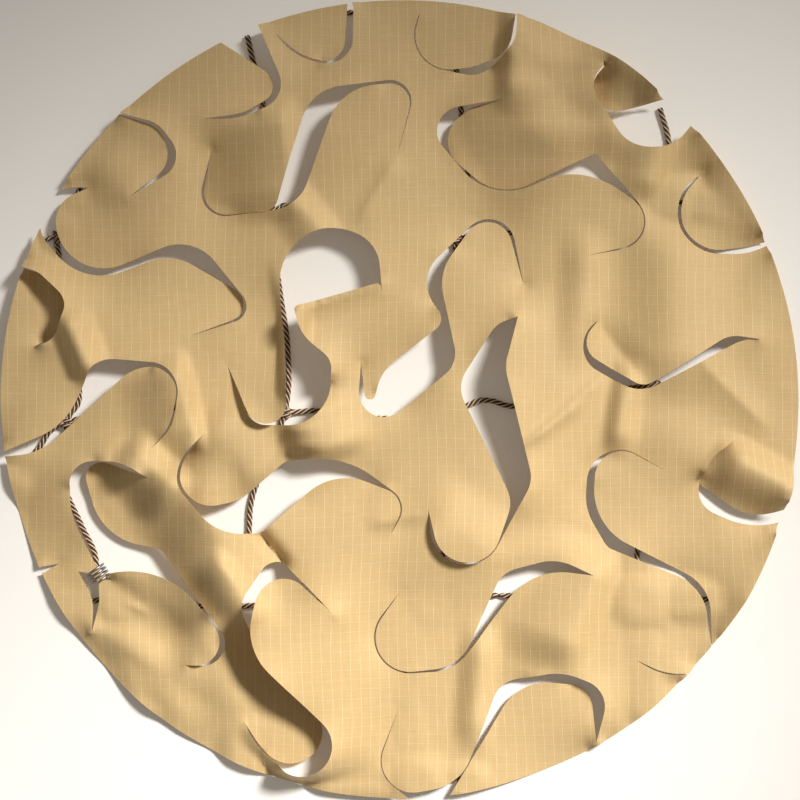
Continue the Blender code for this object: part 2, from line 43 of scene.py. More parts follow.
BOARD_WHITE = (0.88, 0.87, 0.85)
BOARD_PAINTED_GLOW = 0.07          # painted light: the board glows faintly all over, standing in for light the thin cloth lets through, so its shade in the gaps is lighter and warmer
VIEW_HEIGHT = 1121.0       # the lens over the board
LENS = 100.0               # focal length, on a 36 mm wide picture
KEY_AIM = (-0.09, -0.26, 0.0)
KEY_FROM = (1.12, 0.80, 1.45)
KEY_POWER = 322.0
KEY_RADIUS = 0.24
KEY_CONE = math.radians(24.5)
KEY_COLOUR = (1.0, 0.97, 0.92)
ROOM_COLOUR = (1.0, 0.93, 0.83)
ROOM_LIGHT = 0.22


def new_material(name):
    """A material, its nodes and its one shader."""
    material = bpy.data.materials.new(name)
    material.use_nodes = True
    return material, material.node_tree.nodes["Principled BSDF"]


def add_node(material, kind, settings=None, **inputs):
    """A node with its settings, and its inputs each a value or another node's output."""
    node = material.node_tree.nodes.new(kind)
    for name, value in (settings or {}).items():
        setattr(node, name, value)
    for name, value in inputs.items():
        socket = node.inputs[int(name[1:])] if name[0] == "_" else node.inputs[name]
        if isinstance(value, bpy.types.NodeSocket):
            material.node_tree.links.new(value, socket)
        else:
            socket.default_value = value
    return node


def sum_of(material, operation, *values, clamp=False):
    """One step of arithmetic on numbers or other nodes' outputs."""
    settings = {"operation": operation, "use_clamp": clamp}
    numbered = {f"_{k}": value for k, value in enumerate(values)}
    return add_node(material, "ShaderNodeMath", settings, **numbered).outputs[0]


def blend_colours(material, share, first, second):
    """Two colours mixed by a share."""
    mixer = add_node(material, "ShaderNodeMix", {"data_type": "RGBA"})
    for socket, value in ((mixer.inputs[0], share), (mixer.inputs[6], first), (mixer.inputs[7], second)):
        if isinstance(value, bpy.types.NodeSocket):
            material.node_tree.links.new(value, socket)
        else:
            socket.default_value = (*value, 1.0) if isinstance(value, tuple) else value
    return mixer.outputs[2]


def add_object(name, data, material):
    made = bpy.data.objects.new(name, data)
    bpy.context.scene.collection.objects.link(made)
    data.materials.append(material)
    return made


def mesh_of(name, points, faces):
    """A smooth-shaded mesh in metres from points in millimetres."""
    mesh = bpy.data.meshes.new(name)
    mesh.from_pydata((np.asarray(points, float) * MM).tolist(), [], faces)
    mesh.shade_smooth()
    return mesh


board_finish, board_shader = new_material("white_board")
grain = add_node(board_finish, "ShaderNodeTexNoise", Scale=60.0, Detail=4.0)
board_colour = blend_colours(board_finish, grain.outputs[0], (0.86, 0.845, 0.82), BOARD_WHITE)
board_finish.node_tree.links.new(board_colour, board_shader.inputs["Base Color"])
board_shader.inputs["Roughness"].default_value = 0.6
# Painted light: a faint warm glow over the whole board, which lightens and warms its shade
board_shader.inputs["Emission Color"].default_value = (1.0, 0.86, 0.74, 1.0)
board_shader.inputs["Emission Strength"].default_value = BOARD_PAINTED_GLOW
half = BOARD_SIZE / 2
board = add_object("board", mesh_of("board", [(-half, -half, 0), (half, -half, 0), (half, half, 0),
                                              (-half, half, 0)], [(0, 1, 2, 3)]), board_finish)

key = bpy.data.objects.new("key", bpy.data.lights.new("key", "SPOT"))
key.data.energy = KEY_POWER
key.data.color = KEY_COLOUR
key.data.shadow_soft_size = KEY_RADIUS
key.data.spot_size = KEY_CONE
key.data.spot_blend = 1.0
key.location = KEY_FROM
key.rotation_euler = (Vector(KEY_AIM) - Vector(KEY_FROM)).to_track_quat("-Z", "Y").to_euler()
bpy.context.scene.collection.objects.link(key)

room = bpy.data.worlds.new("pale_room")
room.use_nodes = True
room.node_tree.nodes["Background"].inputs["Color"].default_value = (*ROOM_COLOUR, 1.0)
room.node_tree.nodes["Background"].inputs["Strength"].default_value = ROOM_LIGHT
bpy.context.scene.world = room
bpy.context.scene.view_settings.view_transform = "Standard"

camera = bpy.data.objects.new("view_from_above", bpy.data.cameras.new("view_from_above"))
camera.data.lens = LENS
camera.data.sensor_width = 36.0
camera.data.clip_end = 20.0
camera.location = (0, 0, VIEW_HEIGHT * MM)
bpy.context.scene.collection.objects.link(camera)
bpy.context.scene.camera = camera

# Cord net. Machine-twisted cord, three fat dark brown strands with a thinner cream one laid in each groove,
# knotted by hand into a square mesh about 95 mm across. It lies on the board, under the cloth.
CORD_RADIUS = 1.46
BROWN_STRAND = (0.66, 0.0, 0.80)      # radius, where it starts in thirds of a turn, distance from the middle
CREAM_STRAND = (0.42, 0.5, 1.04)
BROWN_SIDES = 8
CREAM_SIDES = 5
LAY = 10.0                            # length of one whole turn of the strands
CORD_STEP = 1.1
KNOT_RISE = 2.4                       # height of a column cord's middle inside a knot
ROW_OVER_COLUMN = 0.6                 # how much higher a row cord's middle is there
KNOT_TURNS = 2.2
KNOT_STEPS_A_TURN = 26
KNOT_TAPER = 0.25                     # how much tighter its end turns are drawn
KNOT_HEADINGS = (96, 76, 56)          # degrees, taken in turn
KNOT_PITCH = 2.3
KNOT_WIDE = 2.9
KNOT_TALL = 1.3
KNOT_MIDDLE = 2.5
KNOT_CORD = 1.15
KNOT_REACH = 9.0                      # how far from the knot the cord is back on the board

# Where the cords are knotted: x, y
KNOTS = {
    "a2": (-171.5, 82), "a3": (-167.5, -11), "a4": (-141, -100),
    "b2": (-66, 95), "b3": (-58, -6), "b4": (-84, -104),
    "c1": (28, 190), "c2": (28, 81.5), "c3": (26.3, -5.5), "c4": (16, -103), "c5": (9, -191),
    "d2": (133, 100.5), "d3": (128, 7), "d4": (120.5, -101),
}
# Each cord from end to end: x, y. A third number lifts the cord, and a name is a knot.
COLUMN_CORDS = (
    ((-155, 121), "a2", (-172, 74), (-168, 40), (-161.5, 3), "a3", (-169.5, -40), (-161, -62),
     (-154, -76, 1.2), (-151.5, -87.5, 1.95), (-146.5, -93, 1.2), "a4", (-126, -150)),
    ((-77, 183.5), (-74.5, 172.5), (-69, 147.5), "b2", (-60.5, 55), (-56.5, 25), "b3", (-73.5, -46),
     (-76, -66), (-77.5, -90), "b4", (-78, -181)),
    ("c1", (28.5, 165), (31, 144), (34, 112.5), "c2", (30, 44), (30, 24), (29.7, 11), "c3", (25, -55),
     "c4", (2.5, -136), "c5"),
    ((131, 147), (135.5, 128), "d2", (128, 52), "d3", (119.5, -78.5), "d4", (123, -153)),
)
ROW_CORDS = (
    ((-36, 194.5), (-5, 195.5), "c1"),
    ((-180, 80), "a2", (-120, 86), "b2", (-55, 97.5), (-14, 86), "c2", (76, 88), (118.5, 99.5), "d2",
     (172, 95)),
    ((-192, -37), (-182.5, -25), "a3", (-112, -4), "b3", (-42, -5.5), (-26, -8.6), (-8, -9.3),
     (10, -8.9), "c3", (33, -3.2), (40, -0.3), (47, -0.6), (55.5, -3), (72, -2.5), "d3", (196, 1.5)),
    ((-167, -103), "a4", (-112, -103), "b4", (-30, -101), "c4", (44, -99), (52, -98.5), "d4", (167, -100)),
    ((-34, -191), "c5", (36, -191)),
)


def smooth_route(stops, step):
    """Points along a smooth curve through the stops, about a step apart."""
    stops = [np.array(p, float) for p in stops]
    stops = [2 * stops[0] - stops[1]] + stops + [2 * stops[-1] - stops[-2]]
    route = []
    for a, b, c, d in zip(stops, stops[1:], stops[2:], stops[3:]):
        pieces = max(1, round(np.linalg.norm(c - b) / step))
        for k in range(pieces):
            t = k / pieces
            route.append(0.5 * (2 * b + (c - a) * t + (2 * a - 5 * b + 4 * c - d) * t ** 2
                                + (3 * b - a - 3 * c + d) * t ** 3))
    return np.array(route + [stops[-2]])


def cord_route(cord, knot_rise=0.0):
    """Middle line of a cord as it lies on the board, lifted where it passes through a knot."""
    stops = [KNOTS[stop] if isinstance(stop, str) else stop for stop in cord]
    route = smooth_route([(*stop, 0.0)[:3] for stop in stops], CORD_STEP)
    route[:, 2] = np.maximum(route[:, 2], 0) + CORD_RADIUS
    for x, y in (KNOTS[stop] for stop in cord if isinstance(stop, str)):
        away = np.clip(np.hypot(route[:, 0] - x, route[:, 1] - y) / KNOT_REACH, 0, 1)
        lifted = CORD_RADIUS + (knot_rise - CORD_RADIUS) * (1 + np.cos(away * math.pi)) / 2
        route[:, 2] = np.maximum(route[:, 2], lifted)
    return route


def frames_along(route):
    """Directions along, sideways and up at each point of a route."""
    ahead = np.gradient(route, axis=0)
    ahead /= np.linalg.norm(ahead, axis=1)[:, None]
    side = np.cross(ahead, (0.0, 0.0, 1.0))
    side /= np.linalg.norm(side, axis=1)[:, None]
    return side, np.cross(side, ahead)


def add_strand(points, faces, middle, side, up, radius, sides):
    """Adds one strand to a mesh: rings round its middle line, joined, with closed ends."""
    first = len(points)
    angles = np.arange(sides) * 2 * math.pi / sides
    rings = (middle[:, None] + radius * (np.cos(angles)[:, None] * side[:, None]
                                         + np.sin(angles)[:, None] * up[:, None]))
    points.extend(rings.reshape(-1, 3).tolist())
    last = first + (len(middle) - 1) * sides
    faces.append(tuple(range(first, first + sides)))
    faces.append(tuple(range(last + sides - 1, last - 1, -1)))
    for ring in range(len(middle) - 1):
        for k in range(sides):
            a = first + ring * sides + k
            b = first + ring * sides + (k + 1) % sides
            faces.append((b, a, a + sides, b + sides))


def twisted_cord(name, routes, radius=CORD_RADIUS):
    """Brown and cream strands laid round each route: two meshes, one of each colour."""
    brown = ([], [])
    cream = ([], [])
    for route in routes:
        side, up = frames_along(route)
        steps = np.linalg.norm(np.diff(route, axis=0), axis=1)
        turned = 2 * math.pi * np.concatenate(([0.0], np.cumsum(steps))) / LAY
        for (points, faces), (strand, start, out), sides in ((brown, BROWN_STRAND, BROWN_SIDES),
                                                             (cream, CREAM_STRAND, CREAM_SIDES)):
            for third in range(3):
                angle = (turned + 2 * math.pi * (third + start) / 3)[:, None]
                middle = route + radius / CORD_RADIUS * out * (np.cos(angle) * side + np.sin(angle) * up)
                add_strand(points, faces, middle, side, up, radius / CORD_RADIUS * strand, sides)
    made = add_object(f"{name}_brown", mesh_of(f"{name}_brown", *brown), brown_yarn)
    trim = add_object(f"{name}_cream", mesh_of(f"{name}_cream", *cream), cream_yarn)
    for piece in (made, trim):
        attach(piece, "root")
        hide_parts("cord_net")


def knot_turns(place, heading):
    """The turns of a row cord drawn tight round a column cord, along the column."""
    x, y = place
    along = np.array((math.cos(heading), math.sin(heading), 0.0))
    across = np.array((-along[1], along[0], 0.0))
    turns = np.linspace(-KNOT_TURNS / 2, KNOT_TURNS / 2, round(KNOT_TURNS * KNOT_STEPS_A_TURN))
    angle = 2 * math.pi * turns
    tight = 1 - KNOT_TAPER * np.abs(turns / KNOT_TURNS * 2) ** 3
    middle = np.array((x, y, KNOT_MIDDLE)) + along * (turns * KNOT_PITCH)[:, None]
    middle += across * (KNOT_WIDE * tight * np.cos(angle))[:, None]
    middle[:, 2] += KNOT_TALL * tight * np.sin(angle)
    return middle


def yarn(name, colour, dark, fuzz):
    """Dull spun fibre, its colour uneven along the strand."""
    material, shader = new_material(name)
    place = add_node(material, "ShaderNodeTexCoord").outputs["Object"]
    fibre = add_node(material, "ShaderNodeTexNoise", Vector=place, Scale=2600.0, Detail=3.0).outputs[0]
    worn = add_node(material, "ShaderNodeTexNoise", Vector=place, Scale=240.0, Detail=2.0).outputs[0]
    uneven = sum_of(material, "MULTIPLY_ADD", fibre, 0.7, sum_of(material, "MULTIPLY", worn, 0.5), clamp=True)
    colour_out = blend_colours(material, uneven, dark, colour)
    bump = add_node(material, "ShaderNodeBump", Strength=0.5, Distance=0.0001, Height=fibre).outputs[0]
    material.node_tree.links.new(colour_out, shader.inputs["Base Color"])
    material.node_tree.links.new(bump, shader.inputs["Normal"])
    shader.inputs["Roughness"].default_value = 0.85
    shader.inputs["Sheen Weight"].default_value = fuzz
    return material


brown_yarn = yarn("brown_yarn", (0.095, 0.036, 0.02), (0.022, 0.008, 0.005), 0.15)
cream_yarn = yarn("cream_yarn", (0.84, 0.70, 0.50), (0.50, 0.36, 0.22), 0.1)
twisted_cord("column_cords", [cord_route(cord, KNOT_RISE) for cord in COLUMN_CORDS])
twisted_cord("row_cords", [cord_route(cord, KNOT_RISE + ROW_OVER_COLUMN) for cord in ROW_CORDS])
twisted_cord("knots", [knot_turns(place, math.radians(KNOT_HEADINGS[k % len(KNOT_HEADINGS)]))
                       for k, place in enumerate(KNOTS.values())], KNOT_CORD)

# Garnish cloth. One round length of tan ripstop, 400 mm across, die-cut with S-shaped incisions so that its
# tongues curl, sink and draw back. It is cut raw with no hem, lies loosely over the net and sags to the board
# between the cords.
CLOTH_RADIUS = 200.0
CLOTH_THICK = 0.45
KERF = 0.5                 # width of a cut that lies closed
CROSSED = 4.0              # an edge that crosses the other by less than this is laid beside it
EDGE_STEP = 1.6
WEAVE_STEP = 2.0
SHARPEST_TURN = math.radians(14)
CORD_CLEAR = (5.1, 3.5, 20.0)   # height of the cloth's underside, how far out it holds, where it ends
KNOT_CLEAR = (7.1, 5.0, 32.0)

# Each die-cut incision has a start and an end (x, y) and two edges. An edge runs round its bends in turn,
# straight between them. A bend is x, y, radius (over 0 turning left, under 0 turning right), height.
CUTS = (
    # a
    ((-98, 140.5), (-80, 198),
     ((-86, 166, 24, 11), (-72.5, 157, 9, 10), (-93, 181, 0, 9)),
     ((-87.5, 179, 39, 12), (-73, 157.5, 13.75, 15), (-72, 190, 0, 13))),
    # b
    ((-62, 183), (-26, 205),
     ((-35, 200, 30.75, 12), (-38, 180, 10.5, 10), (-26.5, 195, 0, 9)),
     ((-35, 200, 31.75, 11), (-36, 180.5, 12.5, 13), (-23.25, 196, 0, 12))),
    # c
    ((10, 194), (58.5, 198.5),
     ((25, 182.5, 17.25, 10), (32.5, 181, 15, 10), (42, 183, 13.75, 10)),
     ((25, 182.5, 18, 11), (36, 177, 14.5, 9), (43, 183.5, 14.5, 16))),
    # x
    ((-150, 146), (-135.5, 101),
     ((-129, 125.5, -14.25, 14), (-123.5, 122, -12, 14)),
     ((-130.5, 125, -13.75, 11), (-129, 122.5, -12.75, 10))),
    # d
    ((-94.5, 125.5), (-2, 119.5),
     ((-87, 104.5, 11.5, 4), (-69, 102.5, 8.5, 7), (-27, 134, -22.5, 15), (-5, 149, -10.75, 12)),
     ((-87.5, 104, 12, 8), (-64, 112.5, 18, 12), (-10.5, 131, -26, 15), (-5, 148, -10, 12))),
    # e
    ((52.5, 150), (93, 72),
     ((38.5, 140.5, 6.25, 4), (39, 130, 15, 3), (54, 131, 25.5, 4),
      (97.5, 120.5, -2.5, 6), (108.5, 89.5, -14.25, 8)),
     ((30.5, 134.5, 12, 9), (54, 134.5, 30, 9), (87, 74.5, -38, 9), (108.5, 89.5, -13.5, 9))),
    # f
    ((151.5, 113.5), (195, 82),
     ((160, 94.5, 19, 0.8), (168, 105, 28.5, 1)),
     ((160, 94.25, 20.75, 2), (168.5, 105, 31.5, 2))),
    # g
    ((102, 166.5), (156, 150),
     ((108, 156, 11.5, 2), (134, 151, 0, 9)),
     ((108, 156, 12, 12), (126, 148, 22, 8))),
    # h
    ((-156, 106.5), (-105, 32),
     ((-158, 90, 14.5, 5), (-148.5, 90, 24, 7), (-110, 55.5, -22.25, 11), (-85, 47, -8.25, 12)),
     ((-163.5, 89.5, 17.25, 4), (-150, 91, 28.5, 5), (-116.5, 46, -25, 7), (-87, 48, -8.5, 8))),
    # i
    ((-197.5, 69), (-184, 26.5),
     ((-187, 52, -13.5, 17), (-177, 47, -10.25, 17), (-181.5, 39.5, -12, 14)),
     ((-187, 52, -13, 3), (-177, 47, -9.75, 3), (-182, 39.5, -10.75, 4))),
    # j
    ((-206, -29), (-124, -24.5),
     ((-194, 14, 35, 9), (-143.5, 7.5, -13, 12), (-125, 4, -15, 12), (-131, -4, -19.5, 11)),
     ((-194, 4, 31.75, 7), (-124, -6, -22.5, 12), (-124, 2.5, -14, 15), (-131.5, -4, -19, 14))),
    # k
    ((-87, 19), (-9, 54.5),
     ((-66.5, -1.5, 10.25, 13), (-33, 58.5, -27, 14.5), (-29, 65.5, -19, 14.5)),
     ((-66.5, -1.5, 11, 7), (-56, 9, 21.5, 9), (-44, 15.5, 10, 17),
      (-30, 44, -21, 17), (-49.5, 44.5, -2.5, 17), (-11.5, 56, -2, 14))),
    # l
    ((62, 57.5), (-19.5, 19),
     ((44, 77, 12.25, 6), (45.5, 58, 24.5, 10), (13.5, 23.5, -14, 14), (-8, 4, -12.5, 9)),
     ((44.5, 77.5, 13.25, 6), (31.5, 58.5, 18, 11), (14, 40.5, -6.5, 15),
      (12, 0.5, 24, 12), (-15, 3, -2.75, 10))),
    # m
    ((14, -54), (58.5, 41.5),
     ((33.5, -64, 16.75, 13), (39, -51.5, 16, 12), (46, 6, -15.5, 12), (57, 26.5, -13.75, 16)),
     ((33, -64, 18, 8), (49, -38, 16, 18), (72.5, 16.5, -20, 22))),
    # n
    ((99, 39.5), (180, 30.5),
     ((103, 29, 10, 10), (121.5, 17.5, 9.75, 10), (168, 16, -16, 11)),
     ((105.5, 27, 14, 8), (120, 24, 18.5, 7), (177.5, 7.5, -23, 9))),
    # o
    ((168, -19.5), (212, -50),
     ((172.5, -42.5, 20.5, 4), (153.25, -41.5, 2.25, 1), (180, -33, 24.5, 2)),
     ((172.5, -42.5, 21.25, 10), (163, -45, 13, 3), (180, -23, 40, 2))),
    # p
    ((136, -37), (158, -131),
     ((111, -39, 13.5, 9), (127.5, -45, 30.25, 8), (134, -107, -22, 2)),
     ((110, -41.5, 16.25, 5), (120, -48.5, 26.5, 4), (109, -68.5, 7, 4), (130, -111, -24.5, 2))),
    # p2
    ((118.5, -130.5), (150, -137.5),
     ((140.5, -105.5, 32, 5),),
     ((140.5, -105.5, 32.75, 4),)),
    # q
    ((0.5, -95.5), (96.5, -87.5),
     ((5, -119, 17.25, 7), (15, -113.5, 21.75, 6), (61.5, -98.5, -14.5, 5), (76, -106, -25.5, 6)),
     ((5, -119, 18, 7), (15, -113.5, 23, 6), (81.5, -120, -34, 5))),
    # r
    ((-0.5, -154.5), (98.5, -172),
     ((6.5, -181, 15.75, 5), (13, -171.5, 24, 4), (61, -155, -15, 4),
      (78, -167, -30, 8), (89, -153.5, -13.5, 9)),
     ((7, -181, 16.5, 5), (14, -207.5, 0, 4), (20.5, -206, 0, 4),
      (74, -168, -26, 4), (84.5, -155.5, -12.5, 2.5))),
    # s
    ((-32.5, -107), (-78.5, -161),
     ((-57.5, -102, 13.75, 24), (-45, -114, 28.5, 26), (-49, -172, -15.25, 17), (-41, -149.5, -38.5, 8)),
     ((-62, -89, 8, 11), (-64, -103.5, 14.5, 6), (-45, -114, 29.25, 3),
      (-55, -166.5, -16, 5), (-41.25, -149.75, -37.5, 4))),
    # t
    ((-125, -38.5), (-108, -132.5),
     ((-150, -39, 7.75, 5), (-125.5, -43, 30.25, 4), (-124, -81, -7, 4), (-99, -121.5, -11.5, 5)),
     ((-146, -60, 29.5, 16), (-153.5, -42, 11.5, 12), (-125, -47.5, 40.25, 9),
      (-150, -81.5, 3, 6.2), (-146.3, -87.5, 1.5, 6.2), (-135, -130.5, -45, 12), (-102, -120.5, -12, 8))),
    # t2
    ((-161.5, -86), (-154.5, -116.5),
     ((-155.5, -86.75, 0, 6.2), (-151.25, -91.5, 0, 6.2), (-163, -100, -12.25, 7)),
     ((-176.5, -105.5, -22.5, 6),)),
    # u
    ((-97, -16.5), (-5, -68),
     ((-94, -37, 15.75, 2), (-91, -28, 24, 2), (-53.5, -38.5, -8.5, 3),
      (-41, -75, -45.75, 6), (-10, -54.5, -11, 9)),
     ((-93.5, -37, 16.75, 13), (-77.5, -39, 27.5, 14), (-72, -59.5, 7, 15),
      (-27, -67.5, -28.5, 10), (-10, -54.5, -10.25, 11))),
    # v
    ((-189, -87), (-171.5, -82.25),
     ((-180, -83.75, 0, 4),),
     ((-179, -86.75, 0, 3),)),
)

FADE_LENGTH = 0.4          # share of a fold's length over which it dies away at each end
FADE_AT_END = 0.45         # what is left of it at the very end, before rounding

# Soft folds: from x, y, to x, y, height of the ridge, width on its left, width on its right
FOLDS = (
    (-134, -24, -110, -46, 9, 13, 26),
    (-106, -33, -77, -112, 11, 24, 40),
    (-62, 16, -24, -32, 6, 44, 60),
    (-44, -2, -34, -28, 8, 26, 22),
    (-52, -12, -50, -26, 5, 16, 12),
    (-98, -12, -68, -44, 9, 30, 30),
    (-50, 51, -53, 0, 11, 8, 10),
    (-66, 62, -57, 4, -3, 5, 32),
    (-112, 20, -102, -22, 9, 8, 34),
    (-165, 42, -153, 12, 10, 12, 12),
    (-60, 146, -55, 96, 9, 12, 48),
    (-52, 100, -36, 78, 6, 12, 18),
    (59, 197, 55, 148, 8, 34, 11),
    (104, 176, 102, 126, 8, 22, 66),
    (130, 138, 123, 103, 7, 12, 20),
    (138, 88, 135, 8, 8, 36, 30),
    (93, 80, 89, 22, 4.5, 14, 15),
    (114, 16, 108, -24, 6, 12, 9),
    (162, -27, 199, -48, 13, 14, 24),
    (-150, -98, -110, -126, -4, 20, 16),
    (-92, -78, -70, -106, 6, 8, 20),
    (-98, -118, -78, -156, 4.5, 18, 26),
    (-142, -112, -108, -150, 4, 24, 24),
    (-136, 102, -150, 122, 2.2, 18, 24),
    (100, -78, 80, -130, 9, 16, 44),
    (12, -56, 62, -88, 5, 26, 46),
    (41, -116, 37, -172, 5.5, 12, 13),
    (-140, -140, -96, -166, 2.0, 14, 18),
    (128, -12, 176, -62, 1.6, 22, 26),
    (40, 158, 88, 112, 8, 26, 42),
)

# Creases, which are folds with a sharp edge
CREASES = (
    (-52, 45, -8, 59, 3.5, 4, 11),
    (99, 39, 121, 11, -2.4, 12, 22),
    (150, 19, 183, -13, 2.6, 16, 16),
    (64, -20.5, 101, 11, 2.2, 6, 10),
    (64, -20.5, 90, -2, 1.6, 4, 7),
    (-2, 119.5, -20, 90, 2.4, 14, 9),
    (-150, -97, -128, -106, 2.2, 5, 6),
    (12, -57, -14, -62, 2.0, 8, 12),
    (-72, -65, -57, -84, -6, 8, 6),
)

# Height of the rim by the angle round it. Under 0 it presses flat on the board
RIM = ((0, 5), (18, 6), (35, 10), (46, 15), (53, 22), (64, 13), (78, 11), (90, 9), (112, 9), (130, 8),
       (150, 8), (166, 9), (180, 8), (196, -1), (210, 5), (222, -1), (236, 2), (248, -1), (262, -1), (278, 6),
       (292, -1), (304, 3), (318, -1), (330, 11), (346, 8))

RIPSTOP_CELL = 4.8
RIPSTOP_LINE = (0.015, 0.06)       # how far from a line's middle it starts to fade and is gone, in cells
LENGTHWISE_SHOWS = 0.44
CROSSWISE_SHOWS = 0.13
TAN_DARK = (0.53, 0.366, 0.162)
TAN_LIGHT = (0.68, 0.486, 0.236)
RIPSTOP_YARN = (0.86, 0.74, 0.46)
WEAVE_DRIFT = 3.0
WEAVE_DRIFT_REACH = 75.0
BROAD_RUMPLE = 0.8
BROAD_RUMPLE_REACH = 42.0
FINE_RUMPLE = 0.12
FINE_RUMPLE_REACH = 13.0


def lip_line(start, bends, end, widen=0.0):
    """Points x, y, z along one edge of an incision. Widening moves the edge to the right of its travel."""
    rounds = [(start[0], start[1], 0.0, start[2])]
    rounds += [(x, y, radius + widen if radius else 0.0, height) for x, y, radius, height in bends]
    rounds += [(end[0], end[1], 0.0, end[2])]
    headings = []
    for (x1, y1, radius1, _), (x2, y2, radius2, _) in zip(rounds, rounds[1:]):
        lean = (radius2 - radius1) / math.hypot(x2 - x1, y2 - y1)
        lean = max(-1.0, min(1.0, lean))
        headings.append(math.atan2(y2 - y1, x2 - x1) + math.acos(lean) - math.pi / 2)
    points = [start]
    for bend, arriving, leaving in zip(rounds[1:], headings, headings[1:] + [headings[-1]]):
        x, y, radius, height = bend
        turn = (leaving - arriving) % (2 * math.pi)
        if radius < 0:
            turn -= 2 * math.pi
        if radius == 0 or abs(turn) > math.radians(330):
            turn = 0.0
        arc = max(1, round(abs(turn * radius) / EDGE_STEP), math.ceil(abs(turn) / SHARPEST_TURN))
        headings_here = [arriving + turn * k / arc for k in range(arc + 1)] if turn else [arriving]
        bent = [(x + radius * math.sin(h), y - radius * math.cos(h), height) for h in headings_here]
        last = points[-1]
        straight = math.dist(last[:2], bent[0][:2])
        pieces = max(1, round(straight / EDGE_STEP))
        for k in range(1, pieces):
            share = k / pieces
            ease = share * share * (3 - 2 * share)
            points.append((last[0] + (bent[0][0] - last[0]) * share, last[1] + (bent[0][1] - last[1]) * share,
                           last[2] + (bent[0][2] - last[2]) * ease))
        points += bent
    return np.array(points)


def cut_edges(cut):
    """The left and right edges of an incision. The right keeps the kerf away where the cut lies closed."""
    start, end, left, right = cut
    first = (*start, (left[0][3] + right[0][3]) / 2)
    last = (*end, (left[-1][3] + right[-1][3]) / 2)
    far_side = lip_line(first, right, last)
    kerf = lip_line(first, left, last, KERF)[:, :2]
    run = np.diff(kerf, axis=0)
    lengths = np.maximum((run ** 2).sum(axis=1), 1e-9)
    for point in far_side[1:-1]:
        share = np.clip(((point[:2] - kerf[:-1]) * run).sum(axis=1) / lengths, 0, 1)
        nearest = kerf[:-1] + run * share[:, None]
        away = point[:2] - nearest
        k = np.argmin((away ** 2).sum(axis=1))
        on_left = run[k][0] * away[k][1] - run[k][1] * away[k][0] > 0
        if on_left and math.hypot(*away[k]) < CROSSED:
            point[:2] = nearest[k]
    return lip_line(first, left, last), far_side


def inside(points, outline):
    """Which points lie inside a closed outline."""
    x, y = points[:, 0], points[:, 1]
    within = np.zeros(len(points), bool)
    for (x1, y1), (x2, y2) in zip(outline, np.roll(outline, -1, axis=0)):
        if y1 != y2:
            crossing = (y1 > y) != (y2 > y)
            within ^= crossing & (x < (x2 - x1) * (y - y1) / (y2 - y1) + x1)
    return within


def rim_height(x, y):
    angles = [row[0] for row in RIM]
    heights = [row[1] for row in RIM]
    return np.interp(np.degrees(np.arctan2(y, x)) % 360, angles, heights, period=360)


def weave_points(edge_points):
    """A triangular grid of points inside the cloth, clear of its edges."""
    tree = kdtree.KDTree(len(edge_points))
    for k, (x, y) in enumerate(edge_points):
        tree.insert((x, y, 0), k)
    tree.balance()
    points = []
    rows = int(CLOTH_RADIUS / (WEAVE_STEP * math.sqrt(0.75)))
    columns = int(CLOTH_RADIUS / WEAVE_STEP) + 1
    for row in range(-rows, rows + 1):
        for column in range(-columns, columns + 1):
            x = (column + row % 2 / 2) * WEAVE_STEP
            y = row * WEAVE_STEP * math.sqrt(0.75)
            if math.hypot(x, y) < CLOTH_RADIUS and tree.find((x, y, 0))[2] > 0.6 * WEAVE_STEP:
                points.append((x, y))
    return points


def flat_cloth():
    """The cloth cut out flat: points x, y, its triangles, and a height where an edge settles one."""
    edges = [cut_edges(cut) for cut in CUTS]
    steps = round(2 * math.pi * CLOTH_RADIUS / EDGE_STEP)
    around = np.arange(steps) * 2 * math.pi / steps
    rim = np.column_stack((CLOTH_RADIUS * np.cos(around), CLOTH_RADIUS * np.sin(around)))
    points = [tuple(p) for p in rim]
    borders = [(k, (k + 1) % steps) for k in range(steps)]
    settled = {}
    for line in (line for pair in edges for line in pair):
        first = len(points)
        points += [(x, y) for x, y, _ in line]
        borders += [(first + k, first + k + 1) for k in range(len(line) - 1)]
        settled.update({first + k: z for k, (_, _, z) in enumerate(line)})
    near_cut = kdtree.KDTree(len(points) - steps)
    for k, (x, y) in enumerate(points[steps:]):
        near_cut.insert((x, y, 0), k)
    near_cut.balance()
    heights = rim_height(rim[:, 0], rim[:, 1])
    for k, (x, y) in enumerate(rim):
        if near_cut.find((x, y, 0))[2] > 2 * WEAVE_STEP:
            settled[k] = heights[k]
    points += weave_points(points)
    found = delaunay_2d_cdt([Vector(p) for p in points], borders, [], 0, 0.05, True)
    flat = np.array([tuple(p) for p in found[0]])
    triangles = np.array(found[2])
    middles = flat[triangles].mean(axis=1)
    kept = inside(middles, rim)
    for left, right in edges:
        kept &= ~inside(middles, np.vstack((left[:, :2], right[::-1, :2])))
    held = [next((settled[k] for k in source if k in settled), None) for source in found[3]]
    return flat, triangles[kept], held


def joined_groups(triangles, about=None):
    """Sets of triangles joined edge to edge. About a corner, only the edges at that corner join."""
    owners = {}
    for k, (a, b, c) in enumerate(triangles):
        for edge in ((a, b), (b, c), (c, a)):
            if about is None or about in edge:
                owners.setdefault(tuple(sorted(edge)), []).append(k)
    group = list(range(len(triangles)))

    def root(k):
        while group[k] != k:
            group[k] = group[group[k]]
            k = group[k]
        return k

    for members in owners.values():
        for other in members[1:]:
            group[root(other)] = root(members[0])
    found = {}
    for k in range(len(triangles)):
        found.setdefault(root(k), []).append(k)
    return list(found.values())


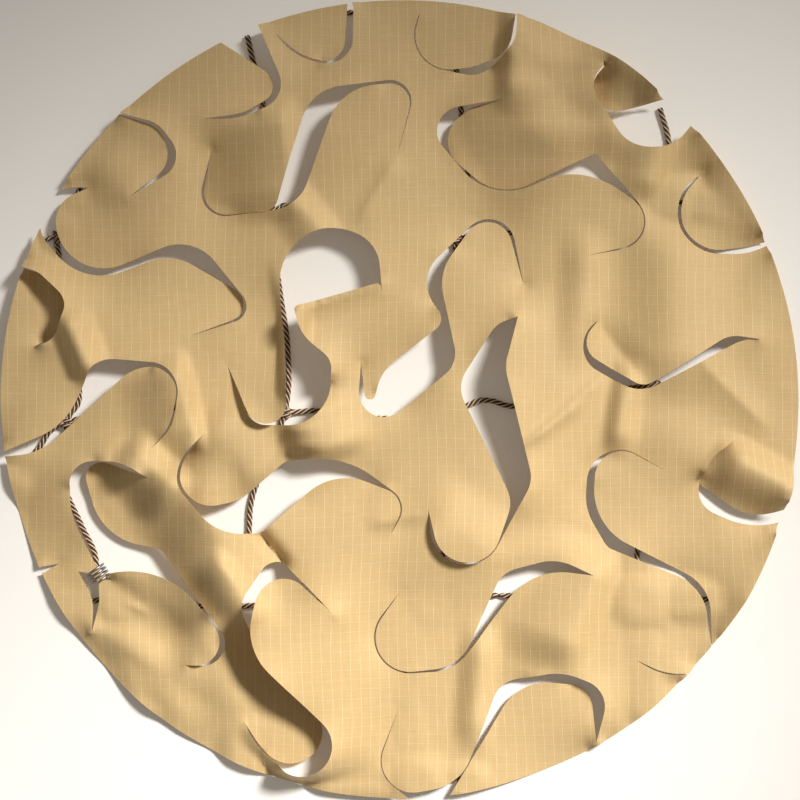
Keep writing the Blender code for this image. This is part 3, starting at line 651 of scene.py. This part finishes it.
def in_one_piece(triangles):
    """The largest joined set of triangles, with no two parts of it meeting at a single point."""
    while True:
        sides = np.sort(np.vstack((triangles[:, :2], triangles[:, 1:], triangles[:, ::2])), axis=1)
        edges, uses = np.unique(sides, axis=0, return_counts=True)
        at_border = np.bincount(edges[uses == 1].ravel(), minlength=triangles.max() + 1)
        spare = []
        for corner in np.nonzero(at_border > 2)[0]:
            fans = np.nonzero((triangles == corner).any(axis=1))[0]
            groups = joined_groups(triangles[fans].tolist(), corner)
            for group in sorted(groups, key=len)[:-1]:
                spare += fans[group].tolist()
        if not spare:
            return triangles[max(joined_groups(triangles.tolist()), key=len)]
        triangles = np.delete(triangles, spare, axis=0)


def stretched(triangles, held):
    """Height of each point of a sheet stretched between the points whose height is held."""
    sides = np.vstack((triangles[:, :2], triangles[:, 1:], triangles[:, ::2]))
    links = np.unique(np.sort(sides, axis=1), axis=0)
    count = len(held)
    loose = np.array([z is None for z in held])
    height = np.array([0.0 if z is None else z for z in held])
    ends = np.concatenate((links[:, 0], links[:, 1]))
    others = np.concatenate((links[:, 1], links[:, 0]))
    degree = np.maximum(np.bincount(ends, minlength=count), 1)

    def pull(z):
        return np.where(loose, degree * z - np.bincount(ends, weights=z[others], minlength=count), 0.0)

    change = np.zeros(count)
    rest = -pull(height)
    step = rest / degree
    size = rest @ step
    for _ in range(2000):
        if size < 1e-9:
            break
        drag = pull(step)
        share = size / (step @ drag)
        change += share * step
        rest -= share * drag
        eased = rest / degree
        grown = eased @ rest
        step = eased + grown / size * step
        size = grown
    return height + change


def fold_height(x, y, folds, crisp):
    """What some folds add to the height. Each dies away at its ends, and its ridge is sharp or rounded."""
    total = np.zeros(len(x))
    for x1, y1, x2, y2, height, left, right in folds:
        length = math.hypot(x2 - x1, y2 - y1)
        along = ((x - x1) * (x2 - x1) + (y - y1) * (y2 - y1)) / length
        across = ((y - y1) * (x2 - x1) - (x - x1) * (y2 - y1)) / length
        side = np.maximum(0, 1 - np.abs(across) / np.where(across > 0, left, right))
        fade = np.clip(np.minimum(along, length - along) / (FADE_LENGTH * length) + FADE_AT_END, 0, 1)
        profile = side * side if crisp else side * side * (3 - 2 * side)
        total += height * profile * fade * fade * (3 - 2 * fade)
    return total


def over_the_net(x, y):
    """Least height of the cloth's underside: flat on the board, lifted over cords and knots."""
    least = np.zeros(len(x))
    spots = [(*p, *CORD_CLEAR) for cord in COLUMN_CORDS + ROW_CORDS for p in cord_route(cord)[::3]]
    spots += [(*place, 0, *KNOT_CLEAR) for place in KNOTS.values()]
    for *place, clear, top, foot in spots:
        away = np.hypot(x - place[0], y - place[1])
        share = np.clip((foot - away) / (foot - top), 0, 1)
        least = np.maximum(least, clear * share * share * (3 - 2 * share))
    return least


def not_below(height, least, blend=1.5):
    """The higher of the two, rounded off where they meet."""
    near = np.maximum(blend - np.abs(height - least), 0) / blend
    return np.maximum(height, least) + near * near * blend / 4


def rumple(x, y, reach, seed):
    """Soft uneven ups and downs about that far apart, from -1 to 1."""
    return np.array([noise.noise((a / reach, b / reach, seed)) for a, b in zip(x, y)])


def woven_mesh(flat, triangles, height):
    """The closed sheet, with a map named weave that runs along its yarns in metres."""
    used, triangles = np.unique(triangles, return_inverse=True)
    triangles = triangles.reshape(-1, 3)
    x, y = flat[used].T
    z = height[used]
    count = len(used)
    top = np.column_stack((x, y, z + CLOTH_THICK / 2))
    under = np.column_stack((x, y, z - CLOTH_THICK / 2))
    sides = {}
    for a, b, c in triangles.tolist():
        for edge in ((a, b), (b, c), (c, a)):
            sides[edge] = (edge[1], edge[0])
    border = [edge for edge, back in sides.items() if back not in sides]
    walls = [(b, a, a + count, b + count) for a, b in border]
    faces = [tuple(t) for t in triangles.tolist()]
    faces += [(c + count, b + count, a + count) for a, b, c in triangles.tolist()]
    mesh = mesh_of("garnish_cloth", np.vstack((top, under)), faces + walls)
    keys = {(min(e), max(e)) for e in border}
    keys |= {(a + count, b + count) for a, b in keys}
    pairs = np.zeros(len(mesh.edges) * 2, np.int32)
    mesh.edges.foreach_get("vertices", pairs)
    sharp = [(min(a, b), max(a, b)) in keys for a, b in pairs.reshape(-1, 2).tolist()]
    mesh.attributes.new("sharp_edge", "BOOLEAN", "EDGE").data.foreach_set("value", sharp)
    drift_x = x + WEAVE_DRIFT * rumple(x, y, WEAVE_DRIFT_REACH, 3.1)
    drift_y = y + WEAVE_DRIFT * rumple(x, y, WEAVE_DRIFT_REACH, 7.7)
    place = np.tile(np.column_stack((drift_x, drift_y)) * MM, (2, 1))
    corners = np.zeros(len(mesh.loops), np.int32)
    mesh.loops.foreach_get("vertex_index", corners)
    weave = mesh.uv_layers.new(name="weave")
    weave.data.foreach_set("uv", place[corners].ravel().astype(np.float32))
    return mesh


def ripstop():
    """Tan cloth with a paler doubled yarn every few millimetres each way, the lengthwise ones clearer."""
    material, shader = new_material("tan_ripstop")
    weave = add_node(material, "ShaderNodeUVMap", {"uv_map": "weave"}).outputs[0]
    parted = add_node(material, "ShaderNodeSeparateXYZ", Vector=weave)
    lines = []
    for k in range(2):
        wander = add_node(material, "ShaderNodeTexNoise", Vector=weave, Scale=38.0 + 7 * k,
                          Detail=2.0).outputs[0]
        shift = sum_of(material, "MULTIPLY", wander, 0.3)
        place = sum_of(material, "MULTIPLY_ADD", parted.outputs[k], 1 / (RIPSTOP_CELL * MM), shift)
        off_line = sum_of(material, "PINGPONG", place, 0.5)
        lines.append(add_node(material, "ShaderNodeMapRange", {"interpolation_type": "SMOOTHSTEP"},
                              _0=off_line, _1=RIPSTOP_LINE[0], _2=RIPSTOP_LINE[1], _3=1.0, _4=0.0).outputs[0])
    yarns = []
    for stretch in ((1900.0, 90.0, 1.0), (90.0, 1900.0, 1.0)):
        run = add_node(material, "ShaderNodeVectorMath", {"operation": "MULTIPLY"}, _0=weave, _1=stretch)
        yarns.append(add_node(material, "ShaderNodeTexNoise", Vector=run.outputs[0], Scale=1.0,
                              Detail=2.0).outputs[0])
    slubs = sum_of(material, "ADD", yarns[0], yarns[1])
    patchy = add_node(material, "ShaderNodeTexNoise", Vector=weave, Scale=14.0, Detail=3.0).outputs[0]
    tone = sum_of(material, "MULTIPLY_ADD", slubs, 0.5, sum_of(material, "MULTIPLY", patchy, 0.6))
    tone = add_node(material, "ShaderNodeMapRange", _0=tone, _1=0.45, _2=1.15, _3=0.0, _4=1.0).outputs[0]
    ground = blend_colours(material, tone, TAN_DARK, TAN_LIGHT)
    broken = add_node(material, "ShaderNodeMapRange", _0=slubs, _1=0.7, _2=1.25, _3=0.45, _4=1.0).outputs[0]
    across = sum_of(material, "MULTIPLY", lines[1], CROSSWISE_SHOWS)
    along = sum_of(material, "MULTIPLY", lines[0], LENGTHWISE_SHOWS)
    shown = sum_of(material, "MULTIPLY", sum_of(material, "MAXIMUM", along, across), broken)
    colour = blend_colours(material, shown, ground, RIPSTOP_YARN)
    raised = sum_of(material, "MULTIPLY_ADD", slubs, 0.6, sum_of(material, "MAXIMUM", lines[0], lines[1]))
    bump = add_node(material, "ShaderNodeBump", Strength=0.35, Distance=0.00012, Height=raised).outputs[0]
    material.node_tree.links.new(colour, shader.inputs["Base Color"])
    material.node_tree.links.new(bump, shader.inputs["Normal"])
    shader.inputs["Roughness"].default_value = 0.7
    shader.inputs["Sheen Weight"].default_value = 0.08
    return material


flat, triangles, held = flat_cloth()
triangles = in_one_piece(triangles)
height = stretched(triangles, held)
x, y = flat.T
height = height + fold_height(x, y, FOLDS, False) + fold_height(x, y, CREASES, True)
height += (BROAD_RUMPLE * rumple(x, y, BROAD_RUMPLE_REACH, 0.4)
           + FINE_RUMPLE * rumple(x, y, FINE_RUMPLE_REACH, 5.2))
height = not_below(height, over_the_net(x, y) + CLOTH_THICK / 2)
cloth = add_object("garnish_cloth_woven", woven_mesh(flat, triangles, height), ripstop())
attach(cloth, "root")
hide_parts("garnish_cloth")

# Wire clip. Dull grey spring wire wound in three close turns round a pleat of the cloth and the cord
# behind it, which is how the two are held together.
CLIP_PLACE = (-151.5, -87.5)
CLIP_HEADING = math.radians(-60)
CLIP_TURNS = 3.25
CLIP_PITCH = 2.0
CLIP_WIRE = 1.2
CLIP_RADIUS = 4.8
CLIP_STEPS_A_TURN = 48
CLIP_SIDES = 14
CLIP_OFF_BOARD = 0.05


def dull_wire():
    """Zinc-grey drawn wire, faintly streaked along its length and greyer where handled."""
    material, shader = new_material("dull_steel_wire")
    place = add_node(material, "ShaderNodeTexCoord").outputs["Object"]
    tarnish = add_node(material, "ShaderNodeTexNoise", Vector=place, Scale=420.0, Detail=4.0).outputs[0]
    colour = blend_colours(material, tarnish, (0.20, 0.20, 0.21), (0.46, 0.46, 0.48))
    rough = add_node(material, "ShaderNodeMapRange", _0=tarnish, _3=0.28, _4=0.5).outputs[0]
    bump = add_node(material, "ShaderNodeBump", Strength=0.2, Distance=0.00005, Height=tarnish).outputs[0]
    material.node_tree.links.new(colour, shader.inputs["Base Color"])
    material.node_tree.links.new(rough, shader.inputs["Roughness"])
    material.node_tree.links.new(bump, shader.inputs["Normal"])
    shader.inputs["Metallic"].default_value = 1.0
    return material


clip_along = np.array((math.cos(CLIP_HEADING), math.sin(CLIP_HEADING), 0.0))
clip_across = np.array((-clip_along[1], clip_along[0], 0.0))
turned = np.linspace(0, CLIP_TURNS, round(CLIP_TURNS * CLIP_STEPS_A_TURN))
coil = np.array((*CLIP_PLACE, CLIP_RADIUS + CLIP_WIRE / 2 + CLIP_OFF_BOARD)) \
    + clip_along * ((turned - CLIP_TURNS / 2) * CLIP_PITCH)[:, None] \
    + clip_across * (CLIP_RADIUS * np.cos(2 * math.pi * turned))[:, None]
coil[:, 2] += CLIP_RADIUS * np.sin(2 * math.pi * turned)
ahead = np.gradient(coil, axis=0)
ahead /= np.linalg.norm(ahead, axis=1)[:, None]
wire_out = np.cross(ahead, clip_along)
wire_out /= np.linalg.norm(wire_out, axis=1)[:, None]
wire_points, wire_faces = [], []
add_strand(wire_points, wire_faces, coil, wire_out, np.cross(wire_out, ahead), CLIP_WIRE / 2, CLIP_SIDES)
clip = add_object("wire_clip_coil", mesh_of("wire_clip_coil", wire_points, wire_faces), dull_wire())
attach(clip, "root")
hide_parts("wire_clip")
